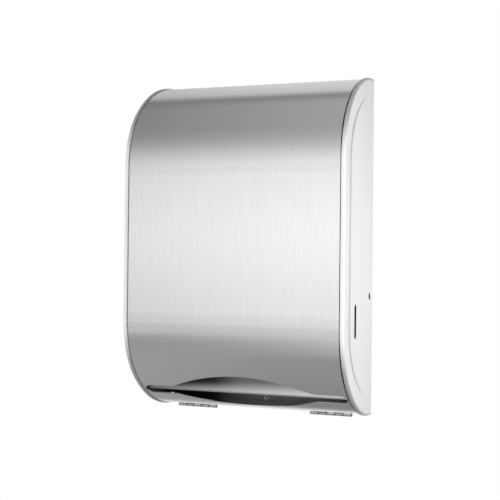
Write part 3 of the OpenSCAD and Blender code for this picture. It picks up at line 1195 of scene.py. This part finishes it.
def stage_piece(name: str, spots: Sequence[Spot], faces: Sequence[Sequence[int]],
                material: bpy.types.Material) -> bpy.types.Object:
    """Puts up a piece of the studio.

    Args:
        name: The piece's name.
        spots: Its corners in metres.
        faces: The corners of each face, by number.
        material: What it is made of.

    Returns:
        The piece.
    """
    mesh = bpy.data.meshes.new(name)
    mesh.from_pydata(spots, [], faces)
    mesh.materials.append(material)
    piece = bpy.data.objects.new(name, mesh)
    bpy.context.scene.collection.objects.link(piece)
    return piece


@dataclass(frozen=True)
class StudioFloor:
    """A pale floor that fades to white away from the object, and is clear from below.

    Places on it are in metres from a middle in front of the object, and slants are those of
    lines that run out in a fan from a spot in front of that middle.
    """

    front: float = -3.6
    middle: float = -0.35
    light: Colour = (0.545, 0.545, 0.541)
    dark: Colour = (0.505, 0.505, 0.501)
    fibre: Layer = Layer(300.0, 3.0)
    near: Span = (1.1, 1.4)
    behind: Span = (-0.3, 0.1)
    back: Span = (0.76, 1.25)
    fan: float = 0.25
    fan_slant: Span = (0.3, 0.85)
    fan_levels: Span = (1.0, 0.42)
    before: Stops = (
        (-7.0, 1.0), (-5.3, 0.98), (-2.3, 0.89), (-1.42, 0.80), (-0.95, 0.66), (-0.67, 0.50),
        (-0.48, 0.40), (-0.33, 0.31), (-0.27, 0.28), (-0.25, 0.02), (0.0, 0.0), (7.0, 0.0))
    left: Span = (-0.35, -0.10)
    left_levels: Span = (0.16, 0.0)
    side_slant: Span = (0.85, 1.25)
    side_far: Span = (1.1, 1.7)
    least_run: float = 0.001
    paper_rough: float = 1.0
    paper_sheen: float = 0.0

    def whiteness(self, graph: Graph) -> Value:
        """Share of white on the floor.

        Args:
            graph: The graph to build in.

        Returns:
            The share, from zero around the object to one far away.
        """
        beside, y, _ = graph.spot()
        inward = y - self.middle
        away = beside.reach(inward)
        around = graph.between(away, self.near, ease=Ease.SOFT) * graph.between(inward, self.behind)
        back = graph.between(inward, self.back, ease=Ease.SOFT)
        fan = graph.between(beside / (inward + self.fan), self.fan_slant, self.fan_levels)
        before = fan * graph.curve(inward, self.before)
        left = graph.between(beside, self.left, self.left_levels)
        slant = beside.size() / ((inward + self.fan).size() + self.least_run)
        side = graph.between(slant, self.side_slant, ease=Ease.SOFT)
        far = graph.between(away, self.side_far, ease=Ease.SOFT)
        return around.most(back).most(before).most(left).most(side * far)

    def shader(self, graph: Graph) -> Value:
        """Builds the floor's paper.

        Args:
            graph: The graph to build in.

        Returns:
            The shader.
        """
        paper = graph.node("ShaderNodeBsdfPrincipled", None, {
            "Base Color": graph.blend(self.fibre.noise(graph), self.dark, self.light),
            "Roughness": self.paper_rough, "Specular IOR Level": self.paper_sheen})
        faded = graph.mix(graph.seen() * self.whiteness(graph), paper, graph.white())
        from_below = graph.node("ShaderNodeNewGeometry", out="Backfacing")
        return graph.mix(from_below, faded, graph.node("ShaderNodeBsdfTransparent"))

    def build(self) -> bpy.types.Object:
        """Lays the floor.

        Returns:
            The floor.
        """
        half = STUDIO_HALF
        corners = ((-half, self.front), (half, self.front), (half, half), (-half, half))
        return stage_piece("studio_floor", [(x, y, FLOOR_LEVEL) for x, y in corners],
                           [(0, 1, 2, 3)], paint("studio_floor_paper", self.shader))


@dataclass(frozen=True)
class Backdrop:
    """A white wall behind the object, which rises on the left, and walls on both sides."""

    back: float = 6.0
    top: float = 2.1
    rise_start: float = -3.6
    left_top: float = 3.0
    side_front: float = -3.6
    side_top: float = 2.5

    def shader(self, graph: Graph) -> Value:
        """Builds a white that lets the studio's light through."""
        clear = graph.node("ShaderNodeBsdfTransparent")
        return graph.mix(graph.seen(), clear, graph.white())

    def build(self) -> bpy.types.Object:
        """Stands the walls up.

        Returns:
            The backdrop.
        """
        half, low = STUDIO_HALF, FLOOR_LEVEL
        spots = [(x, self.back, z) for x, z in (
            (-half, low), (half, low), (half, self.top), (self.rise_start, self.top),
            (-half, self.left_top))]
        spots += [(x, y, z) for x in (-half, half) for y, z in (
            (self.back, low), (self.side_front, low), (self.side_front, self.side_top),
            (self.back, self.side_top))]
        return stage_piece("studio_wall", spots, [(0, 1, 2, 3, 4), (5, 6, 7, 8), (9, 10, 11, 12)],
                           paint("studio_wall_white", self.shader))


@dataclass(frozen=True)
class RingLight:
    """Soft light all around, with a bright front and a dimmer ceiling and floor.

    Levels around and tilts go by the angle above the front in degrees, levels aside and slopes
    by the way to the right from -1 to 1. A tilt adds light where the slope is over no_slope, and
    takes some away where it is under it.
    """

    around: Stops = (
        (-180, 0.50), (-125, 0.45), (-100, 0.35), (-50, 0.37), (-31, 0.48), (-20, 0.69),
        (-12, 0.88), (-8, 0.98), (-5, 1.03), (-3.2, 1.09), (-2, 1.20), (1, 1.385), (3, 1.36),
        (4.2, 1.24), (6, 1.11), (9, 1.10), (14, 1.05), (20, 0.88), (29, 0.72), (38, 0.59),
        (47, 0.49), (60, 0.425), (104, 0.40), (110, 0.31), (113, 0.22), (117, 0.22),
        (120, 0.43), (122, 0.60), (127, 0.68), (139, 0.70), (180, 0.72))
    aside: Stops = (
        (-1, 0.15), (-0.75, 0.40), (-0.5, 0.77), (-0.41, 0.845), (-0.36, 1.0), (-0.29, 1.07),
        (-0.2, 1.09), (-0.1, 0.98), (0, 0.80), (0.2, 0.70), (1, 0.20))
    tilt: Stops = (
        (-180, 0.0), (-30, 0.0), (-12, 0.3), (-8, 0.7), (-4, 0.6), (-3, 0.45), (2, 0.4),
        (4.5, 0.7), (35, 0.6), (55, 1.5), (118, 1.5), (125, 0.0), (180, 0.0))
    slope: Stops = ((-1, 0.3), (-0.5, 0.3), (-0.36, 0.49), (-0.2, 0.67), (1, 0.67))
    no_slope: float = 0.5

    def build(self) -> bpy.types.World:
        """Surrounds the object with the light.

        Returns:
            The world that gives it.
        """
        world = bpy.data.worlds.new("studio")
        world.use_nodes = True
        bpy.context.scene.world = world
        graph = Graph(world.node_tree)
        x, y, z = graph.axes(graph.node("ShaderNodeTexCoord", out="Generated"))
        angle = z.angle_over(0 - y)
        slope = graph.curve(x, self.slope) - self.no_slope
        tilted = 1.0 + graph.curve(angle, self.tilt) * slope
        level = graph.curve(angle, self.around) * graph.curve(x, self.aside) * tilted
        glow = graph.node("ShaderNodeBackground", None, {"Color": level, "Strength": 1.0})
        graph.node("ShaderNodeOutputWorld", None, {"Surface": glow})
        return world


@dataclass(frozen=True)
class Studio:
    """Camera, floor, walls and soft light."""

    camera: PhotoCamera = PhotoCamera()
    floor: StudioFloor = StudioFloor()
    backdrop: Backdrop = Backdrop()
    ring: RingLight = RingLight()
    lamps: tuple[Softbox, ...] = (
        Softbox("front_softbox", stand=(0.75, -1.25, 0.0), aim=(0.13, -0.13, 0.0),
                side=0.5, power=8.4),
        Softbox("side_softbox", stand=(0.48, -0.12, -0.02), aim=(0.13, -0.08, -0.02),
                side=0.22, power=0.84),
        Softbox("left_softbox", stand=(-0.80, -0.25, 0.05), aim=(-0.13, -0.08, 0.0),
                side=0.4, power=1.6))

    def build(self) -> list[str]:
        """Puts up everything but the camera, and returns the names."""
        bpy.context.scene.view_settings.view_transform = "Standard"
        return [item.build().name for item in (self.floor, self.backdrop, self.ring, *self.lamps)]


def main() -> None:
    """Builds and dresses the object, then the studio."""
    logging.basicConfig(level=logging.INFO, format="%(name)s: %(message)s")
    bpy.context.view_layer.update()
    studio = Studio()
    studio.camera.build()
    for group in (WallUnit(), Cover()):
        for name in group.dress():
            log.info("%s dressed on %s", name, group.body)
    for shown in (SteelFront(), LatchStrip()):
        piece = shown.build()
        shown.dress(piece)
        log.info("%s stands for %s", piece.name, shown.node)
    for name in studio.build():
        log.info("%s put up", name)


if __name__ == "__main__":
    main()
